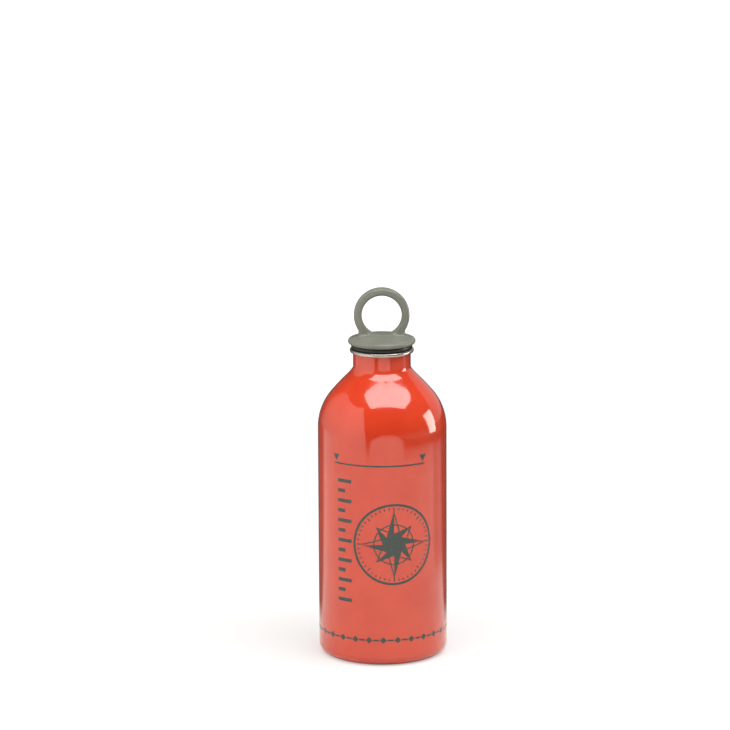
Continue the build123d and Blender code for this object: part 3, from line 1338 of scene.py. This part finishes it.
def print_scale(sizes, ink):
    """Filling scale: a column of bars, every other one shorter."""
    bar_length = 8 * MM
    bar_height = 1.8 * MM
    left_end = -24 * MM
    values = {
        "Count": sizes.scale_bars,
        "Start": (left_end, 0, sizes.scale_bottom),
        "Step": (0, 0, sizes.scale_pitch),
        "Short Share": 0.55,
    }
    bar = rectangle(bar_length, bar_height, across=bar_length / 2)
    print_on_wall(sizes, ink, "print_scale", [bar], row_tree(), 3, values)


def print_fill_line(sizes, ink):
    """Fill line: a thin rule with a small triangle over each end."""
    middle = -2 * MM
    tile = 4 * MM
    tiles_each_side = 6
    rule_height = 0.8 * MM
    triangle_place = 23 * MM
    triangle_half = 2 * MM
    triangle_low = sizes.fill_height + 1.5 * MM
    triangle_high = sizes.fill_height + 4.9 * MM
    shapes = [
        rectangle(tile, rule_height, middle + (place + 0.5) * tile, sizes.fill_height)
        for place in range(-tiles_each_side, tiles_each_side)
    ]
    for end in (-1, 1):
        across = middle + end * triangle_place
        shapes.append(
            [
                (across - triangle_half, triangle_high),
                (across, triangle_low),
                (across + triangle_half, triangle_high),
            ]
        )
    print_on_wall(sizes, ink, "print_fill_line", shapes, artwork_tree(), 2)


def print_border(sizes, ink):
    """Border of diamonds and dashes all the way round."""
    count = 28
    half = 1.7 * MM
    dash_length = 3.0 * MM
    dash_height = 0.9 * MM
    pitch = tau * WALL_RADIUS / count
    diamond = [(-half, 0), (0, half), (half, 0), (0, -half)]
    dash = rectangle(dash_length, dash_height, across=pitch / 2, low=-dash_height / 2)
    values = {
        "Count": count,
        "Start": (0, 0, sizes.band_height),
        "Step": (pitch, 0, 0),
        "Short Share": 1.0,
    }
    print_on_wall(sizes, ink, "print_border", [diamond, dash], row_tree(), 2, values)


class FUELBOTTLE_OT_print(Operator):
    """Print the rose, the filling scale, the fill line and the border on the wall"""

    bl_idname = "fuel_bottle.print_wall"
    bl_label = "Print the wall"

    def execute(self, context):
        sizes = context.scene.fuel_bottle_print
        ink = ink_material(sizes)
        print_rose(sizes, ink)
        print_rose_dial(sizes, ink)
        print_scale(sizes, ink)
        print_fill_line(sizes, ink)
        print_border(sizes, ink)
        return {"FINISHED"}


# Stage

# Corners as shares of the softbox's height over the shoulder: rightward, then backward
SOFTBOX_SHARES = (
    (-0.40, -0.72), (0.84, -0.59), (0.86, -0.20), (0.89, 0.13), (0.80, 0.12), (0.64, -0.01),
    (0.48, -0.115), (0.137, -0.252), (-0.205, -0.235), (-0.50, -0.172), (-0.545, -0.20),
    (-0.456, -0.34),
)
# Corners in metres: backward, then up
PANEL_CORNERS = (
    (-1.05, 0.0), (-0.90, 0.50), (-0.55, 1.06), (-0.31, 0.80), (-0.14, 0.74), (0.14, 0.70),
    (0.36, 0.59), (0.72, 0.40), (0.72, 0.0),
)
# Corners as a bearing in degrees, rightward from the front, and a height in metres
STRIP_CORNERS = ((92, 0.0), (108, 0.0), (108, 0.39), (84, 0.39))


def bare_material(name):
    """Material without nodes, and its tree."""
    material = bpy.data.materials.new(name)
    material.use_nodes = True
    material.node_tree.nodes.clear()
    return material, material.node_tree


def end_tree(tree, shader, kind="Material"):
    """Wire a shader node to the output of a material or a world."""
    add_node(tree, "ShaderNodeOutput" + kind, {"Surface": shader.outputs[0]})


def floor_light(tree, across, along, reach):
    """How much light the floor shows in the bottle's reflections: 1 is lit, 0 is dark.

    The pairs are places in metres, or shares of the way backward, between which it changes.
    """
    near_edge = (0.45, 0.50)
    lane_left, lane_right = (-0.21, -0.16), (0.13, 0.20)
    lane_slant = 0.35
    side_edge = (0.0, 0.04)
    side_slant = -0.6
    far_start, far_right = (0.52, 0.62), (0.35, 0.5)
    far_light = 0.28
    near = remap(tree, reach, *near_edge, 1.0, 0.0)
    slanted = calculate(tree, "MULTIPLY_ADD", along, lane_slant, across)
    lane = multiply(
        tree, remap(tree, across, *lane_left), remap(tree, slanted, *lane_right, 1.0, 0.0)
    )
    slanted = calculate(tree, "MULTIPLY_ADD", along, side_slant, across)
    side = remap(tree, slanted, *side_edge, 1.0, 0.0)
    far = multiply(
        tree, remap(tree, reach, *far_start, 0.0, far_light), remap(tree, across, *far_right)
    )
    lit = calculate(tree, "MAXIMUM", near, calculate(tree, "MAXIMUM", lane, side))
    return calculate(tree, "MAXIMUM", lit, far)


def floor_shade(tree, across, along, reach):
    """Share of that light which is left to the right of the bottle and behind it."""
    right_back, right_edge, right_fade = (0.1, 0.25), (0.0, 0.05), (0.15, 0.22)
    right_loss = -0.5
    behind_back, behind_fade = (0.5, 0.68), (0.05, 0.11)
    behind_loss = -0.92
    backward = calculate(tree, "DIVIDE", along, reach)
    right = multiply(
        tree, remap(tree, backward, *right_back), remap(tree, across, *right_edge)
    )
    right_left = calculate(
        tree, "MULTIPLY_ADD", right, remap(tree, reach, *right_fade, 0.0, right_loss), 1.0
    )
    behind_left = calculate(
        tree,
        "MULTIPLY_ADD",
        remap(tree, backward, *behind_back),
        remap(tree, reach, *behind_fade, 0.0, behind_loss),
        1.0,
    )
    return right_left, behind_left


def floor_material():
    """Pale paper that takes the bottle's shadow; its reflection is lit in places only."""
    dark = (0.04, 0.04, 0.04)
    warm_white = (0.90, 0.87, 0.81)
    pale_grey = (0.55, 0.55, 0.54)
    lift_start, lift_full = 0.1, 1.5
    lift_near = 0.45
    material, tree = bare_material("floor_paper")
    place = tree.nodes.new("ShaderNodeTexCoord").outputs["Object"]
    across, along, _ = separate(tree, place)
    reach = add_node(
        tree, "ShaderNodeVectorMath", {0: place}, operation="LENGTH"
    ).outputs["Value"]
    lit = multiply(
        tree, floor_light(tree, across, along, reach), *floor_shade(tree, across, along, reach)
    )
    path = tree.nodes.new("ShaderNodeLightPath").outputs
    mirrored = mix_colours(tree, lit, dark, warm_white)
    paper = mix_colours(tree, path["Is Glossy Ray"], pale_grey, mirrored)
    lift = remap(tree, reach, lift_start, lift_full, lift_near, 1.0)
    diffuse = add_node(tree, "ShaderNodeBsdfDiffuse", {"Color": paper})
    glow = add_node(
        tree, "ShaderNodeEmission", {"Strength": multiply(tree, path["Is Camera Ray"], lift)}
    )
    both = add_node(tree, "ShaderNodeAddShader", {0: diffuse.outputs[0], 1: glow.outputs[0]})
    end_tree(tree, both)
    return material


def add_glowing_card(name, corners, level, tint=(1, 1, 1), fade=None):
    """Flat card that the camera doesn't see, glowing evenly or less towards its back."""
    far_divisor = 5
    mesh = bpy.data.meshes.new(name)
    mesh.from_pydata(corners, [], [list(range(len(corners)))])
    card = add_object(name, mesh)
    material, tree = bare_material(name)
    if fade:
        place = tree.nodes.new("ShaderNodeTexCoord").outputs["Object"]
        back = separate(tree, place)["Y"]
        level = remap(tree, back, *fade, level, level / far_divisor, smooth=False)
    end_tree(
        tree, add_node(tree, "ShaderNodeEmission", {"Color": (*tint, 1), "Strength": level})
    )
    mesh.materials.append(material)
    card.visible_camera = False
    card.visible_shadow = False
    return card


class FUELBOTTLE_OT_stage(Operator):
    """Set up the floor, the lights, the white surround and the camera"""

    bl_idname = "fuel_bottle.set_stage"
    bl_label = "Set the stage"

    def execute(self, context):
        studio = context.scene.fuel_bottle_studio
        self.make_floor(studio)
        self.make_lights(studio)
        self.make_world(context.scene, studio)
        self.make_camera(context.scene)
        context.scene.view_settings.view_transform = "Standard"
        return {"FINISHED"}

    def make_floor(self, studio):
        """Round pale floor, white to the camera."""
        made = bmesh.new()
        bmesh.ops.create_circle(made, cap_ends=True, segments=64, radius=studio.floor_radius)
        mesh = to_mesh(made, "floor")
        floor = add_object("floor", mesh)
        mesh.materials.append(floor_material())

    def make_lights(self, studio):
        """Overhead softbox, white panel on the left, strip light on the right."""
        shoulder_height = 0.13
        panel_tint = (1.0, 0.97, 0.90)
        panel_fade = (-0.25, 0.6)
        strip_tint = (1.0, 0.93, 0.85)
        high = studio.softbox_height
        softbox = [(x * high, y * high, shoulder_height + high) for x, y in SOFTBOX_SHARES]
        add_glowing_card("softbox", softbox, studio.softbox_level)
        panel = [(-studio.panel_distance, y, z) for y, z in PANEL_CORNERS]
        add_glowing_card("white_panel", panel, studio.panel_level, panel_tint, panel_fade)
        reach = studio.strip_distance
        strip = [
            (reach * sin(radians(bearing)), -reach * cos(radians(bearing)), height)
            for bearing, height in STRIP_CORNERS
        ]
        card = add_glowing_card("strip_light", strip, studio.strip_level, strip_tint)
        card.visible_diffuse = False

    def make_world(self, scene, studio):
        """White to the camera; for the bottle, a dim room with a pale backdrop behind."""
        # Pairs are parts of a direction of length 1, between which the light changes
        right_edge, right_start, right_share = (0.86, 0.92), (0.1, 0.25), 0.8
        right_slant = 0.6
        left_edge, left_share = (0.80, 0.86), 0.16
        ceiling_edge = (0.3, 0.95)
        ceiling_sides, ceiling_shares = (-0.7, 0.7), (0.65, 1.2)
        horizon, side_start = (-0.1, 0.1), (-0.1, 0.8)
        backdrop = studio.backdrop_level
        world = bpy.data.worlds.new("studio")
        world.use_nodes = True
        tree = world.node_tree
        tree.nodes.clear()
        direction = tree.nodes.new("ShaderNodeTexCoord").outputs["Generated"]
        rightward, back, up = separate(tree, direction)
        slanted = calculate(tree, "MULTIPLY_ADD", rightward, right_slant, back)
        right = multiply(
            tree,
            remap(tree, slanted, *right_edge),
            remap(tree, rightward, *right_start, 0.0, backdrop * right_share),
        )
        left = multiply(tree, remap(tree, back, *left_edge), backdrop * left_share)
        seen = calculate(tree, "MAXIMUM", studio.gloom, calculate(tree, "MAXIMUM", right, left))
        ceiling = multiply(
            tree,
            remap(tree, up, *ceiling_edge, 0.0, studio.fill, smooth=False),
            remap(tree, rightward, *ceiling_sides, *ceiling_shares),
        )
        fill = calculate(
            tree,
            "MULTIPLY_ADD",
            remap(tree, up, *horizon),
            remap(tree, rightward, *side_start, 0.0, studio.side_fill),
            ceiling,
        )
        path = tree.nodes.new("ShaderNodeLightPath").outputs
        level = remap(tree, path["Is Glossy Ray"], 0.0, 1.0, fill, seen, smooth=False)
        level = calculate(tree, "MAXIMUM", path["Is Camera Ray"], level)
        level = calculate(tree, "MAXIMUM", path["Is Transmission Ray"], level)
        sky = add_node(
            tree, "ShaderNodeBackground", {"Color": (1, 1, 1, 1), "Strength": level}
        )
        end_tree(tree, sky, "World")
        scene.world = world

    def make_camera(self, scene):
        """Camera at the photograph's place, pitched down and a little rolled."""
        place = Vector((-8.3, -1900.3, 567.0)) * MM
        pitch = radians(12.52)
        roll = radians(-0.31)
        film_width_mm = 36
        focal_length_mm = 195.4
        data = bpy.data.cameras.new("camera")
        data.sensor_width = film_width_mm
        data.lens = focal_length_mm
        data.clip_start = 0.05
        data.clip_end = 50
        camera = add_object("camera", data)
        camera.matrix_world = (
            Matrix.Translation(place)
            @ Matrix.Rotation(pi / 2 - pitch, 4, "X")
            @ Matrix.Rotation(roll, 4, "Z")
        )
        scene.camera = camera


class FUELBOTTLE_PT_parts(Panel):
    """Buttons for the bottle's pieces and its stage"""

    bl_idname = "FUELBOTTLE_PT_parts"
    bl_label = "Fuel bottle"
    bl_space_type = "VIEW_3D"
    bl_region_type = "UI"
    bl_category = "Fuel bottle"

    def draw(self, context):
        for operator in OPERATORS:
            self.layout.operator(operator.bl_idname)
        for name in SETTINGS:
            box = self.layout.box()
            group = getattr(context.scene, name)
            for field in group.bl_rna.properties:
                if not field.is_readonly and field.identifier != "name":
                    box.prop(group, field.identifier)


SETTINGS = {
    "fuel_bottle_shell": FuelBottleShell,
    "fuel_bottle_print": FuelBottlePrint,
    "fuel_bottle_stopper": FuelBottleStopper,
    "fuel_bottle_studio": FuelBottleStudio,
}
OPERATORS = (
    FUELBOTTLE_OT_stage,
    FUELBOTTLE_OT_shell,
    FUELBOTTLE_OT_neck_ring,
    FUELBOTTLE_OT_stopper,
    FUELBOTTLE_OT_print,
)


def register():
    for name, settings in SETTINGS.items():
        bpy.utils.register_class(settings)
        setattr(bpy.types.Scene, name, PointerProperty(type=settings))
    for operator in OPERATORS:
        bpy.utils.register_class(operator)
    bpy.utils.register_class(FUELBOTTLE_PT_parts)


def unregister():
    bpy.utils.unregister_class(FUELBOTTLE_PT_parts)
    for operator in reversed(OPERATORS):
        bpy.utils.unregister_class(operator)
    for name, settings in SETTINGS.items():
        delattr(bpy.types.Scene, name)
        bpy.utils.unregister_class(settings)


def main():
    """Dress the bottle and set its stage."""
    register()
    bpy.ops.fuel_bottle.set_stage()
    bpy.ops.fuel_bottle.make_shell()
    bpy.ops.fuel_bottle.finish_neck_ring()
    bpy.ops.fuel_bottle.make_stopper()
    bpy.ops.fuel_bottle.print_wall()


if __name__ == "__main__":
    main()
